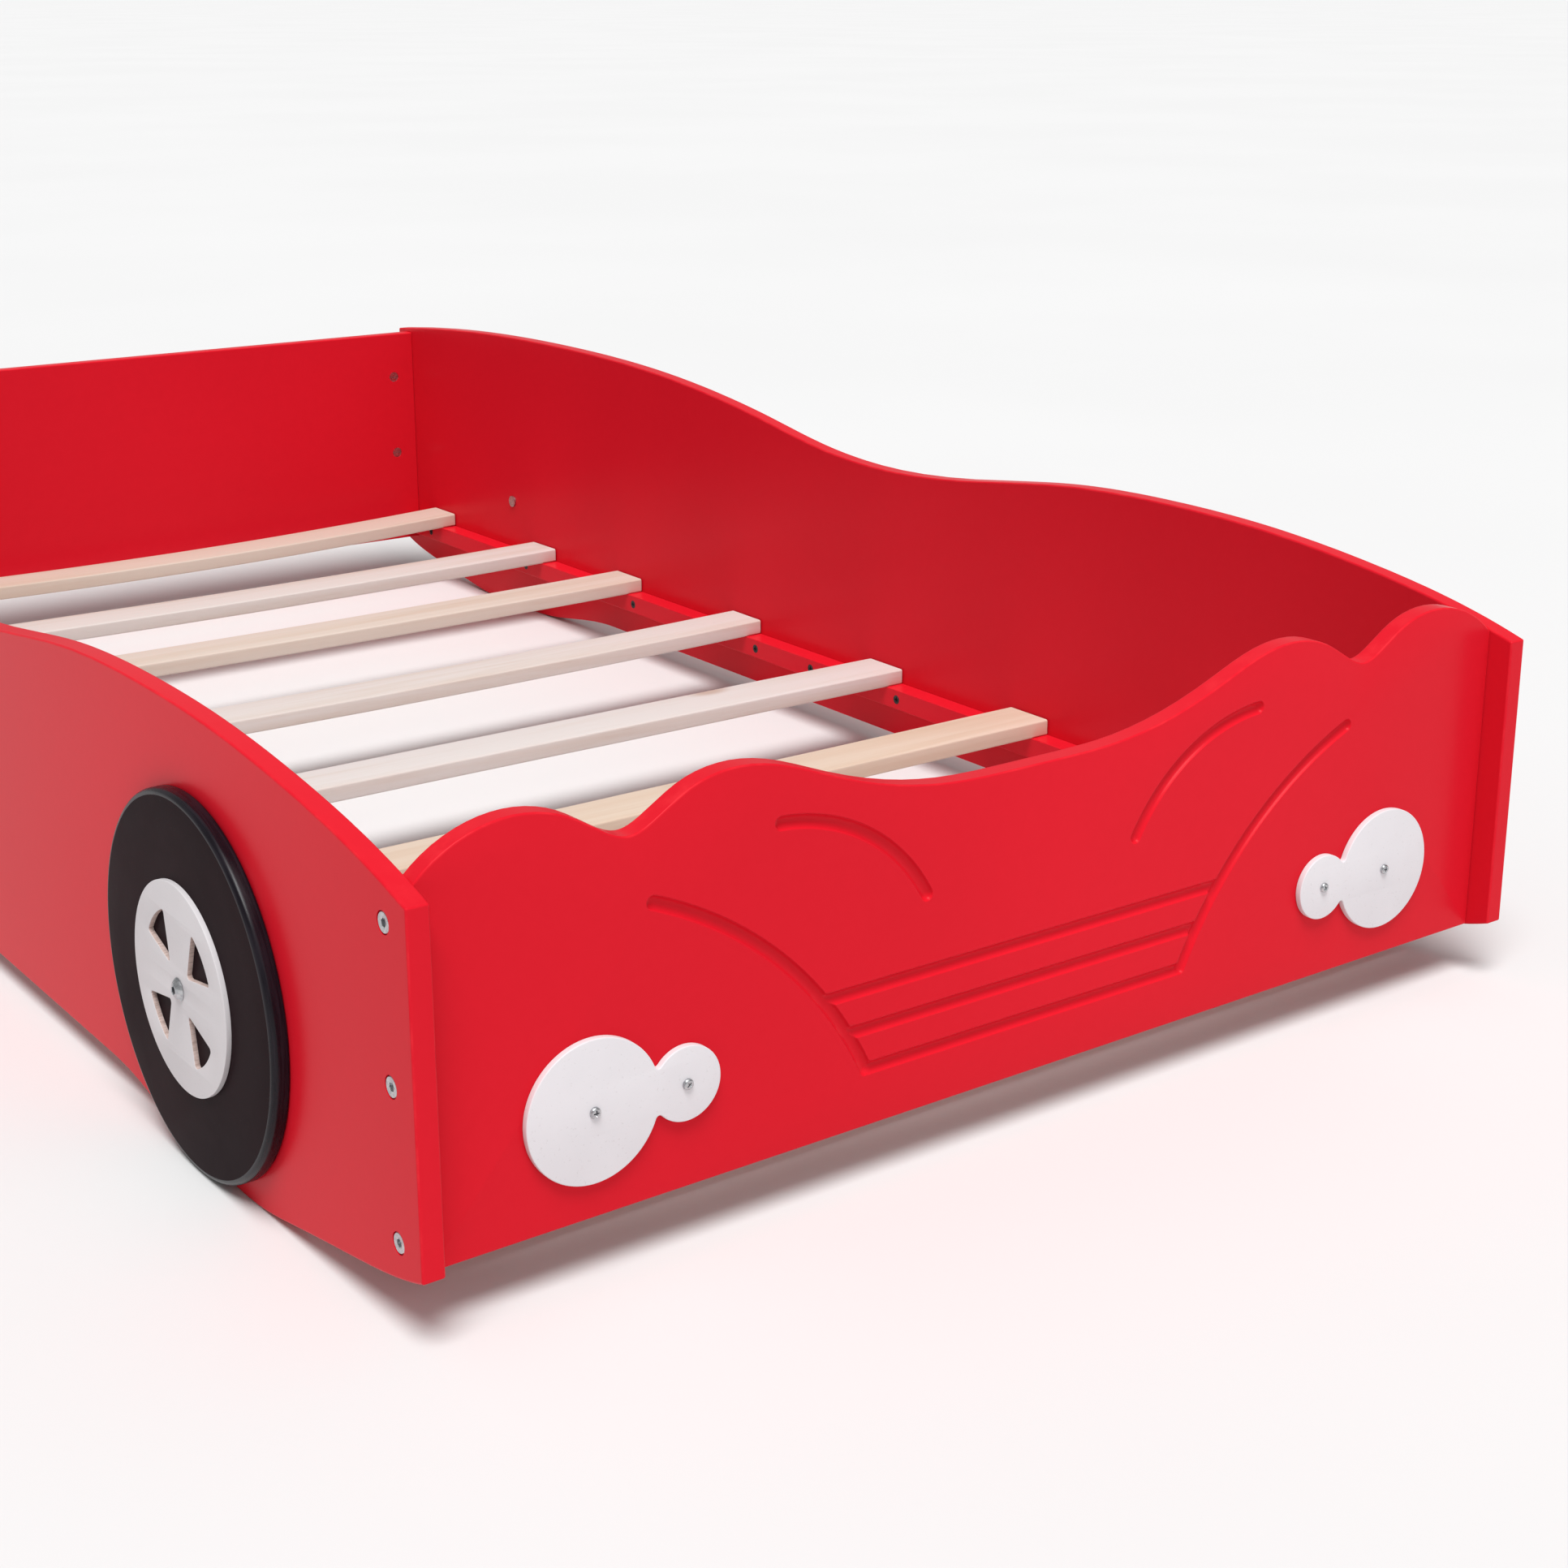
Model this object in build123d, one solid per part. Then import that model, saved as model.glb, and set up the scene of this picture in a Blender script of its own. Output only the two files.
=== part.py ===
"""Toddler bed in the shape of a race car: painted MDF panels, slats and four disc wheels.

Units are millimetres. The origin is on the floor under the middle of the bed. +X is the bed's right-hand
side seen from the foot end, +Y points at the headboard and +Z is up. The foot end, with the headlights and
the grille, faces -Y.
"""
from build123d import *
import math
import os

# --- driving dimensions -------------------------------------------------------------------------------
BED_WIDTH = 754.0            # over the outer faces of the side panels
BED_LENGTH = 1410.0          # of the side panels
BOARD = 12.0                 # thickness of every red panel
ARRIS = 1.2                  # rounding of the panels' edges
END_SETBACK = 16.0           # end panels stand this far inside the ends of the side panels

HALF_WIDTH = BED_WIDTH / 2
HALF_LENGTH = BED_LENGTH / 2
INNER_HALF_WIDTH = HALF_WIDTH - BOARD
END_PANEL_Y = HALF_LENGTH - END_SETBACK - BOARD / 2      # middle of an end panel's thickness
INNER_HALF_LENGTH = END_PANEL_Y - BOARD / 2
FRONT_FACE_Y = -(END_PANEL_Y + BOARD / 2)                # outer face of the foot panel

# --- side panel outline, as (y, z) --------------------------------------------------------------------
SIDE_TOP = [(-705, 217.5), (-660, 229.5), (-590, 241.5), (-500, 250.5), (-410, 252.8), (-310, 248.5),
            (-192, 233.5), (-101, 227.5), (-10, 233.0), (70, 245.8), (137, 255.0), (213, 262.2),
            (378, 267.3), (560, 262.5), (705, 250.0)]
FRONT_CORNER_Z = 37.0        # underside of the side panel at the foot end
REAR_CORNER_Z = 30.0         # and at the headboard end
ARCH_Z = 14.5                # straight underside between the wheels
LOBE_LAND = 36.0             # half length of the flat that rests on the floor under each wheel
FRONT_ARCH_Y = -332.0        # where the straight underside starts and ends
REAR_ARCH_Y = 300.0
# points on the underside's four curves, and how steeply the outer two leave the corners
FRONT_CURVE = [(-628, 18.5), (-572, 8.0)]
FRONT_CURVE_SLOPE = -0.38
FRONT_ARCH_CURVE = (-396, 7.6)
REAR_ARCH_CURVE = (372, 7.4)
REAR_CURVE = [(590, 7.6), (652, 17.0)]
REAR_CURVE_SLOPE = 0.40

# --- end panels ---------------------------------------------------------------------------------------
FRONT_BOTTOM_Z = 32.0
# right half of the foot panel's top edge, as (distance from the middle, z): a dip, then two bumps
FRONT_TOP = [(0, 206.8), (58, 208.0), (100, 215.3), (135, 226.8), (162, 237.0), (190, 242.0),
             (216, 237.6), (237, 226.0), (252.5, 220.0), (268, 226.2), (286, 236.8), (310, 242.6),
             (338, 238.2), (365, 221.0)]
HEAD_BOTTOM_Z = 35.0
HEAD_TOP_Z = 248.5

# --- routed grooves in the foot panel, as (x, z) ------------------------------------------------------
GROOVE_R = 4.0               # radius of the round cutter
ARC_DEPTH = 3.0
GRILLE_DEPTH = 2.6
GRILLE_LINES = [(142.0, 108.6), (124.0, 86.8), (112.5, 64.4)]       # half length to the long arcs, height
GRILLE_OVERLAP = 0.7         # a grille line stops this short of the middle of the arc it runs into
LONG_ARC = [(240.0, 184.3), (160.5, 131.7), (112.5, 64.4)]          # outer end, middle, lower end
SHORT_ARC = [(165.5, 208.2), (109.0, 189.2), (73.5, 150.8)]

# --- slats and rails ----------------------------------------------------------------------------------
RAIL = 16.0                  # square section
RAIL_TOP_Z = 59.0
RAIL_END_GAP = 3.0
RAIL_ARRIS = 0.8
SLAT_THICKNESS = 12.0
SLAT_WIDTH = 42.0
SLAT_EDGE_R = 1.6
SLAT_END_GAP = 1.0
# middle of each slat along the bed and how far it sags in the middle, from the headboard to the foot end
SLATS = [(619, 8.8), (421, 3.6), (270, 2.8), (83.5, 3.8), (-109, 0), (-280.5, 0), (-460, 2.0), (-630, 1.0)]

# --- wheels -------------------------------------------------------------------------------------------
AXLE_Z = 104.5
FRONT_AXLE_Y = -474.0
REAR_AXLE_Y = 480.5
TYRE_R = 104.0
TYRE_THICKNESS = 9.0
TYRE_FRONT_ROUND = 3.0
TYRE_BACK_ROUND = 1.0
HUB_R = 57.2
HUB_THICKNESS = 3.0
HUB_EDGE = 0.4
WINDOW_ARC_R = 41.8          # outer, round side of a hub window
WINDOW_APEX_R = 14.4         # its inner corner
WINDOW_HALF_ANGLE = 20.3
WINDOW_CORNER_R = 1.8
WINDOW_COUNT = 4
WINDOW_ANGLE = 45.0          # first window, before a wheel's own angle
WHEEL_GAP = 0.3              # wheel to panel, and bolt head to hub
SLEEVE_R = 4.0
SLEEVE_RUNNING_GAP = 0.06
SLEEVE_FLANGE_R = 5.4
SLEEVE_FLANGE = 1.6
WHEEL_BOLT_R = 3.0
WHEEL_BOLT_LENGTH = 18.0
WHEEL_HEAD_R = 6.2
WHEEL_HEAD_HEIGHT = 3.4

# --- headlights ---------------------------------------------------------------------------------------
LIGHT_X = 277.3              # middle of the large circle, from the middle of the bed
LIGHT_Z = 89.0
LIGHT_BIG_R = 37.0
LIGHT_SMALL_R = 19.6
LIGHT_SPACING = 52.6         # large circle to small circle, towards the middle of the bed
LIGHT_NOTCH_R = 2.0
LIGHT_THICKNESS = 4.0
LIGHT_EDGE = 0.5

# --- fasteners ----------------------------------------------------------------------------------------
CORNER_BOLT_HEIGHTS = (48.5, 126.0, 204.5)
CORNER_BOLT_HEAD_R = 5.3
CORNER_BOLT_HEAD = 1.8
CORNER_BOLT_SINK = 2.0       # depth of the counterbore
CORNER_BOLT_R = 3.0
CORNER_BOLT_LENGTH = 40.0
COUNTERBORE_CLEARANCE = 0.4
BARREL_X = INNER_HALF_WIDTH - 22.7
BARREL_R = 5.0
BARREL_LENGTH = 10.0
BARREL_SINK = 0.4
SOCKET_ACROSS_FLATS = 4.0
SOCKET_DEPTH = 1.3
SCREW_R = 2.0                # rail and slat screws
SCREW_LENGTH = 25.0
SCREW_HEAD_R = 3.6
SCREW_HEAD = 2.2
RECESS_DEPTH = 1.2
RECESS_WIDTH = 0.9
RECESS_SPAN = 1.1            # length of a cross recess's arm, in head radii
NUT_SLOT_WIDTH = 1.35
NUT_SLOT_DEPTH = 1.2
RAIL_SCREW_FIRST_Y = 623.0
RAIL_SCREW_PITCH = 191.0
RAIL_SCREW_COUNT = 7
RAIL_SCREW_EXTRA_Y = -28.0   # one more, near the middle of the rail
SLAT_SCREW_OFFSET = -10.0    # from the slat's middle, clear of the rail screws
LIGHT_SCREW_R = 1.5
LIGHT_SCREW_LENGTH = 12.0
LIGHT_SCREW_HEAD_R = 2.9
LIGHT_SCREW_HEAD = 1.9
LIGHT_SCREW_DOME = 1.14      # rounding of the pan head
PILOT_EXTRA = 1.0            # empty bore beyond a screw's point

SIDES = {"left": -1, "right": 1}
ENDS = {"front": -1, "rear": 1}
AXLES = {"front": FRONT_AXLE_Y, "rear": REAR_AXLE_Y}
WHEEL_REST_ANGLE = {("front", "left"): 5.2, ("front", "right"): -14.0,
                    ("rear", "left"): 21.0, ("rear", "right"): -8.0}


# --- helpers ------------------------------------------------------------------------------------------
def rod(start, direction, length, radius):
    """A cylinder from a point along a direction."""
    plane = Plane(origin=start, z_dir=direction)
    return plane * Cylinder(radius, length, align=(Align.CENTER, Align.CENTER, Align.MIN))


def taper(start, direction, length, radius_start, radius_end):
    """A truncated cone from a point along a direction."""
    plane = Plane(origin=start, z_dir=direction)
    return plane * Cone(radius_start, radius_end, length, align=(Align.CENTER, Align.CENTER, Align.MIN))


def hex_socket(start, direction):
    """The hexagonal hole in a bolt head, from the head's outer face inwards."""
    plane = Plane(origin=start, z_dir=direction)
    across_corners_r = SOCKET_ACROSS_FLATS / 2 / math.cos(math.radians(30))
    return extrude(plane * RegularPolygon(across_corners_r, 6), SOCKET_DEPTH)


def cross_recess(start, direction, radius):
    """The cross-shaped recess of a screw head."""
    plane = Plane(origin=start, z_dir=direction)
    arm = Box(radius * RECESS_SPAN, RECESS_WIDTH, RECESS_DEPTH, align=(Align.CENTER, Align.CENTER, Align.MIN))
    return plane * (arm + Rot(0, 0, 90) * arm)


def flat_screw(start, direction):
    """A countersunk wood screw whose flat head face is at start."""
    shank = rod(start, direction, SCREW_LENGTH, SCREW_R)
    head = taper(start, direction, SCREW_HEAD, SCREW_HEAD_R, SCREW_R)
    return shank + head - cross_recess(start, direction, SCREW_HEAD_R)


def flat_screw_hole(start, direction):
    """The hole that the countersunk screw fills."""
    bore = rod(start, direction, SCREW_LENGTH + PILOT_EXTRA, SCREW_R)
    return bore + taper(start, direction, SCREW_HEAD, SCREW_HEAD_R, SCREW_R)


def group(name, solids):
    """One node that holds several separate solids."""
    return name, Compound(children=[Solid(s.solid().wrapped) for s in solids])


def rounded(solid, radius):
    """The solid with all its edges rounded."""
    return fillet(solid.edges(), radius)


# --- panels -------------------------------------------------------------------------------------------
def side_outline():
    """Outline of a side panel in the (y, z) plane."""
    top = Spline(*SIDE_TOP)
    front_corner = (SIDE_TOP[0][0], FRONT_CORNER_Z)
    rear_corner = (SIDE_TOP[-1][0], REAR_CORNER_Z)
    front_land = [(FRONT_AXLE_Y - LOBE_LAND, 0), (FRONT_AXLE_Y + LOBE_LAND, 0)]
    rear_land = [(REAR_AXLE_Y - LOBE_LAND, 0), (REAR_AXLE_Y + LOBE_LAND, 0)]
    level = (1, 0)
    arch_front = (FRONT_ARCH_Y, ARCH_Z)
    arch_rear = (REAR_ARCH_Y, ARCH_Z)
    lines = [
        top,
        Line(rear_corner, SIDE_TOP[-1]),
        Line(front_corner, SIDE_TOP[0]),
        Spline(front_corner, *FRONT_CURVE, front_land[0], tangents=[(1, FRONT_CURVE_SLOPE), level]),
        Line(*front_land),
        Spline(front_land[1], FRONT_ARCH_CURVE, arch_front, tangents=[level, level]),
        Line(arch_front, arch_rear),
        Spline(arch_rear, REAR_ARCH_CURVE, rear_land[0], tangents=[level, level]),
        Line(*rear_land),
        Spline(rear_land[1], *REAR_CURVE, rear_corner, tangents=[level, (1, REAR_CURVE_SLOPE)]),
    ]
    return make_face(lines)


def corner_bolt_places(side):
    """Axis points of the corner bolts on one side, on the outer face of the side panel."""
    return [(side * HALF_WIDTH, end * END_PANEL_Y, z) for end in ENDS.values() for z in CORNER_BOLT_HEIGHTS]


def rail_screw_places():
    """Places of the rail screws along the bed."""
    regular = [RAIL_SCREW_FIRST_Y - i * RAIL_SCREW_PITCH for i in range(RAIL_SCREW_COUNT)]
    return regular + [RAIL_SCREW_EXTRA_Y]


def rail_screw_start(side, y):
    """Head of a rail screw, on the inner face of the rail."""
    return (side * (INNER_HALF_WIDTH - RAIL), y, RAIL_TOP_Z - RAIL / 2)


def side_panel(side):
    """Side panel with its bolt counterbores, wheel bores and screw pilot holes."""
    face = Plane(origin=(0, 0, 0), x_dir=(0, 1, 0), z_dir=(1, 0, 0)) * side_outline()
    panel = Pos(min(side * HALF_WIDTH, side * INNER_HALF_WIDTH), 0, 0) * extrude(face, BOARD)
    panel = rounded(panel, ARRIS)
    inwards = (-side, 0, 0)
    for place in corner_bolt_places(side):
        panel -= rod(place, inwards, CORNER_BOLT_SINK, CORNER_BOLT_HEAD_R + COUNTERBORE_CLEARANCE)
        panel -= rod(place, inwards, BOARD, CORNER_BOLT_R)
    for y in AXLES.values():
        panel -= rod((side * HALF_WIDTH, y, AXLE_Z), inwards, BOARD, SLEEVE_R)
    for y in rail_screw_places():
        panel -= rod(rail_screw_start(side, y), (side, 0, 0), SCREW_LENGTH + PILOT_EXTRA, SCREW_R)
    return panel


def barrel_bores(end, z, side):
    """Bolt bore and barrel nut bore at one corner of an end panel."""
    inwards = (0, end, 0)
    y_inner = end * INNER_HALF_LENGTH
    mouth = (side * INNER_HALF_WIDTH, end * END_PANEL_Y, z)
    depth = CORNER_BOLT_LENGTH - (BOARD - CORNER_BOLT_SINK) + PILOT_EXTRA
    bolt_bore = rod(mouth, (-side, 0, 0), depth, CORNER_BOLT_R)
    nut_bore = rod((side * BARREL_X, y_inner, z), inwards, BARREL_LENGTH + BARREL_SINK, BARREL_R)
    return bolt_bore + nut_bore


def end_panel_from(outline, end):
    """An end panel from its (x, z) outline, with rounded edges and bored for its nuts."""
    face = Plane(origin=(0, 0, 0), x_dir=(1, 0, 0), z_dir=(0, -1, 0)) * outline
    outer_y = end * (END_PANEL_Y + BOARD / 2)
    back_y = max(outer_y, end * INNER_HALF_LENGTH)
    panel = Pos(0, back_y, 0) * extrude(face, BOARD)
    panel = rounded(panel, ARRIS)
    for side in SIDES.values():
        for z in CORNER_BOLT_HEIGHTS:
            panel -= barrel_bores(end, z, side)
    return panel


def foot_outline():
    """Foot panel outline: straight underside and a top edge with four bumps."""
    right = FRONT_TOP
    left = [(-x, z) for x, z in reversed(FRONT_TOP[1:])]
    edge_x, edge_z = FRONT_TOP[-1]
    lines = [
        Spline(*(left + right)),
        Line((edge_x, edge_z), (edge_x, FRONT_BOTTOM_Z)),
        Line((edge_x, FRONT_BOTTOM_Z), (-edge_x, FRONT_BOTTOM_Z)),
        Line((-edge_x, FRONT_BOTTOM_Z), (-edge_x, edge_z)),
    ]
    return make_face(lines)


def straight_groove(half_length, z, y):
    """Cutter for a grille line, which runs into the long arcs at both ends."""
    return rod((-half_length, y, z), (1, 0, 0), 2 * half_length, GROOVE_R)


def arc_groove(side, arc, y):
    """Cutter for a round-bottomed groove through three (x, z) points, with round ends."""
    points = [Vector(side * x, y, z) for x, z in arc]
    path = ThreePointArc(*points)
    centre = path.arc_center
    start = Plane(origin=points[0], z_dir=path % 0)
    turn = math.degrees(path.length / path.radius)
    upright = Axis(centre, (points[0] - centre).cross(path % 0))
    cutter = revolve(start * Circle(GROOVE_R), upright, turn)
    return [cutter] + [Pos(*end) * Sphere(GROOVE_R) for end in (points[0], points[-1])]


def front_panel():
    """Foot panel with its grille and arcs."""
    panel = end_panel_from(foot_outline(), ENDS["front"])
    face_y = FRONT_FACE_Y
    for side in SIDES.values():
        for arc in (LONG_ARC, SHORT_ARC):
            for cutter in arc_groove(side, arc, face_y - GROOVE_R + ARC_DEPTH):
                panel -= cutter
    for half_length, z in GRILLE_LINES:
        panel -= straight_groove(half_length - GRILLE_OVERLAP, z, face_y - GROOVE_R + GRILLE_DEPTH)
    for place in headlight_screw_places():
        panel -= rod(place, (0, 1, 0), LIGHT_SCREW_LENGTH, LIGHT_SCREW_R)
    return panel


def headboard_panel():
    """Plain panel at the head end."""
    height = HEAD_TOP_Z - HEAD_BOTTOM_Z
    outline = Pos(0, HEAD_BOTTOM_Z + height / 2) * Rectangle(2 * INNER_HALF_WIDTH, height)
    return end_panel_from(outline, ENDS["rear"])


# --- rails and slats ----------------------------------------------------------------------------------
def slat_screw_start(side, y):
    """Head of a slat screw, on the underside of the rail."""
    return (side * (INNER_HALF_WIDTH - RAIL / 2), y + SLAT_SCREW_OFFSET, RAIL_TOP_Z - RAIL)


def slat_rail(side):
    """Square rail along the side panel's inner face."""
    length = 2 * (INNER_HALF_LENGTH - RAIL_END_GAP)
    rail = Pos(side * (INNER_HALF_WIDTH - RAIL / 2), 0, RAIL_TOP_Z - RAIL / 2) * Box(RAIL, length, RAIL)
    rail = rounded(rail, RAIL_ARRIS)
    for y in rail_screw_places():
        rail -= flat_screw_hole(rail_screw_start(side, y), (side, 0, 0))
    for y, _ in SLATS:
        rail -= flat_screw_hole(slat_screw_start(side, y), (0, 0, 1))
    return rail


def slat(y, sag):
    """A slat on the rails. It touches them at their inner edges and sags by a given amount between."""
    half = INNER_HALF_WIDTH - SLAT_END_GAP
    low = RAIL_TOP_Z
    high = low + SLAT_THICKNESS
    if sag:
        bearing = INNER_HALF_WIDTH - RAIL
        lift = sag * ((half / bearing) ** 2 - 1)
        lines = [
            ThreePointArc((-half, low + lift), (0, low - sag), (half, low + lift)),
            Line((half, low + lift), (half, high + lift)),
            ThreePointArc((half, high + lift), (0, high - sag), (-half, high + lift)),
            Line((-half, high + lift), (-half, low + lift)),
        ]
        outline = make_face(lines)
    else:
        outline = Pos(0, (low + high) / 2) * Rectangle(2 * half, SLAT_THICKNESS)
    face = Plane(origin=(0, y + SLAT_WIDTH / 2, 0), x_dir=(1, 0, 0), z_dir=(0, -1, 0)) * outline
    board = rounded(extrude(face, SLAT_WIDTH), SLAT_EDGE_R)
    for side in SIDES.values():
        board -= rod(slat_screw_start(side, y), (0, 0, 1), SCREW_LENGTH + PILOT_EXTRA, SCREW_R)
    return board


# --- wheels -------------------------------------------------------------------------------------------
def hub_window():
    """One window: an inner corner, two straight sides and an outer arc round the wheel's middle."""
    spread = math.radians(WINDOW_HALF_ANGLE)
    corner = (WINDOW_ARC_R * math.cos(spread), WINDOW_ARC_R * math.sin(spread))
    apex = (WINDOW_APEX_R, 0)
    lines = [
        Line(apex, corner),
        ThreePointArc(corner, (WINDOW_ARC_R, 0), (corner[0], -corner[1])),
        Line((corner[0], -corner[1]), apex),
    ]
    face = make_face(lines)
    return fillet(face.vertices(), WINDOW_CORNER_R)


def tyre_disc():
    """Tyre on its own axis, back face at zero and front face towards +Z."""
    disc = Cylinder(TYRE_R, TYRE_THICKNESS, align=(Align.CENTER, Align.CENTER, Align.MIN))
    front = disc.edges().filter_by(GeomType.CIRCLE).sort_by(Axis.Z)[-1]
    disc = fillet(front, TYRE_FRONT_ROUND)
    back = disc.edges().filter_by(GeomType.CIRCLE).sort_by(Axis.Z)[0]
    disc = fillet(back, TYRE_BACK_ROUND)
    return disc - Cylinder(SLEEVE_R + SLEEVE_RUNNING_GAP, 3 * TYRE_THICKNESS)


def hub_disc(angle):
    """Hub on its own axis, with its windows turned by an angle."""
    disc = Cylinder(HUB_R, HUB_THICKNESS, align=(Align.CENTER, Align.CENTER, Align.MIN))
    front = disc.edges().filter_by(GeomType.CIRCLE).sort_by(Axis.Z)[-1]
    disc = fillet(front, HUB_EDGE)
    for i in range(WINDOW_COUNT):
        turn = angle + WINDOW_ANGLE + i * 360 / WINDOW_COUNT
        disc -= Rot(0, 0, turn) * extrude(hub_window(), HUB_THICKNESS)
    return disc - Cylinder(SLEEVE_R + SLEEVE_RUNNING_GAP, 3 * HUB_THICKNESS)


def wheel_plane(side, end):
    """Frame of a wheel: Z points away from the bed, X along +Y of the bed."""
    origin = (side * (HALF_WIDTH + WHEEL_GAP), AXLES[end], AXLE_Z)
    return Plane(origin=origin, x_dir=(0, 1, 0), z_dir=(side, 0, 0))


def wheel_bolt(side, end):
    """Domed bolt that holds a wheel, with a hexagonal socket."""
    seat = side * (HALF_WIDTH + WHEEL_GAP + TYRE_THICKNESS + HUB_THICKNESS + WHEEL_GAP)
    place = (seat, AXLES[end], AXLE_Z)
    dome_r = (WHEEL_HEAD_R ** 2 + WHEEL_HEAD_HEIGHT ** 2) / (2 * WHEEL_HEAD_HEIGHT)
    plane = Plane(origin=place, x_dir=(0, 1, 0), z_dir=(side, 0, 0))
    blank = Cylinder(WHEEL_HEAD_R, WHEEL_HEAD_HEIGHT, align=(Align.CENTER, Align.CENTER, Align.MIN))
    dome = blank & Pos(0, 0, WHEEL_HEAD_HEIGHT - dome_r) * Sphere(dome_r)
    head = plane * dome - hex_socket((seat + side * WHEEL_HEAD_HEIGHT, AXLES[end], AXLE_Z), (-side, 0, 0))
    return head + rod(place, (-side, 0, 0), WHEEL_BOLT_LENGTH, WHEEL_BOLT_R)


def sleeve_nut(side, end):
    """Flanged sleeve from inside the bed, through the panel and the wheel, up to the bolt's head."""
    inner = (side * INNER_HALF_WIDTH, AXLES[end], AXLE_Z)
    length = BOARD + WHEEL_GAP + TYRE_THICKNESS + HUB_THICKNESS + WHEEL_GAP
    flange_start = (side * (INNER_HALF_WIDTH - SLEEVE_FLANGE), AXLES[end], AXLE_Z)
    body = rod(inner, (side, 0, 0), length, SLEEVE_R) + rod(flange_start, (side, 0, 0), SLEEVE_FLANGE,
                                                            SLEEVE_FLANGE_R)
    bore_start = (side * (INNER_HALF_WIDTH + length), AXLES[end], AXLE_Z)
    return body - rod(bore_start, (-side, 0, 0), WHEEL_BOLT_LENGTH + PILOT_EXTRA, WHEEL_BOLT_R)


# --- headlights ---------------------------------------------------------------------------------------
def headlight_plate(side):
    """Two discs in one plate, the small one towards the middle of the bed."""
    shape = Circle(LIGHT_BIG_R) + Pos(-side * LIGHT_SPACING, 0) * Circle(LIGHT_SMALL_R)
    shape = fillet(shape.vertices(), LIGHT_NOTCH_R)
    face_y = FRONT_FACE_Y
    plane = Plane(origin=(side * LIGHT_X, face_y, LIGHT_Z), x_dir=(1, 0, 0), z_dir=(0, -1, 0))
    plate = plane * extrude(shape, LIGHT_THICKNESS)
    front = plate.edges().filter_by(lambda e: abs(e.center().Y - (face_y - LIGHT_THICKNESS)) < 0.01)
    plate = fillet(front, LIGHT_EDGE)
    for place in headlight_screw_places():
        plate -= rod(place, (0, 1, 0), LIGHT_THICKNESS, LIGHT_SCREW_R)
    return plate


def headlight_screw_places():
    """Screw axes on the front faces of the headlight plates."""
    y = FRONT_FACE_Y - LIGHT_THICKNESS
    offsets = (LIGHT_X, LIGHT_X - LIGHT_SPACING)
    return [(side * x, y, LIGHT_Z) for side in SIDES.values() for x in offsets]


def headlight_screw(place):
    """Small pan-head screw."""
    x, y, z = place
    shank = rod(place, (0, 1, 0), LIGHT_SCREW_LENGTH, LIGHT_SCREW_R)
    head = rod(place, (0, -1, 0), LIGHT_SCREW_HEAD, LIGHT_SCREW_HEAD_R)
    rim = head.edges().filter_by(GeomType.CIRCLE).sort_by(Axis.Y)[0]
    head = fillet(rim, LIGHT_SCREW_DOME)
    return shank + head - cross_recess((x, y - LIGHT_SCREW_HEAD, z), (0, 1, 0), LIGHT_SCREW_HEAD_R)


# --- corner fasteners ---------------------------------------------------------------------------------
def corner_bolt(side, place):
    """Flat-head bolt sunk in the side panel, with a hexagonal socket."""
    x, y, z = place
    seat = (x - side * CORNER_BOLT_SINK, y, z)
    top = (seat[0] + side * CORNER_BOLT_HEAD, y, z)
    head = rod(seat, (side, 0, 0), CORNER_BOLT_HEAD, CORNER_BOLT_HEAD_R)
    shank = rod(seat, (-side, 0, 0), CORNER_BOLT_LENGTH, CORNER_BOLT_R)
    return head + shank - hex_socket(top, (-side, 0, 0))


def barrel_nut(side, end, z):
    """Cross dowel in the end panel, slotted on the face towards the bed's inside."""
    mouth_y = end * (INNER_HALF_LENGTH + BARREL_SINK)
    nut = rod((side * BARREL_X, mouth_y, z), (0, end, 0), BARREL_LENGTH, BARREL_R)
    nut -= rod((side * INNER_HALF_WIDTH, end * END_PANEL_Y, z), (-side, 0, 0), BED_WIDTH / 4, CORNER_BOLT_R)
    slot = Box(2 * BARREL_R, 2 * NUT_SLOT_DEPTH, NUT_SLOT_WIDTH)
    return nut - Pos(side * BARREL_X, mouth_y, z) * slot


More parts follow.
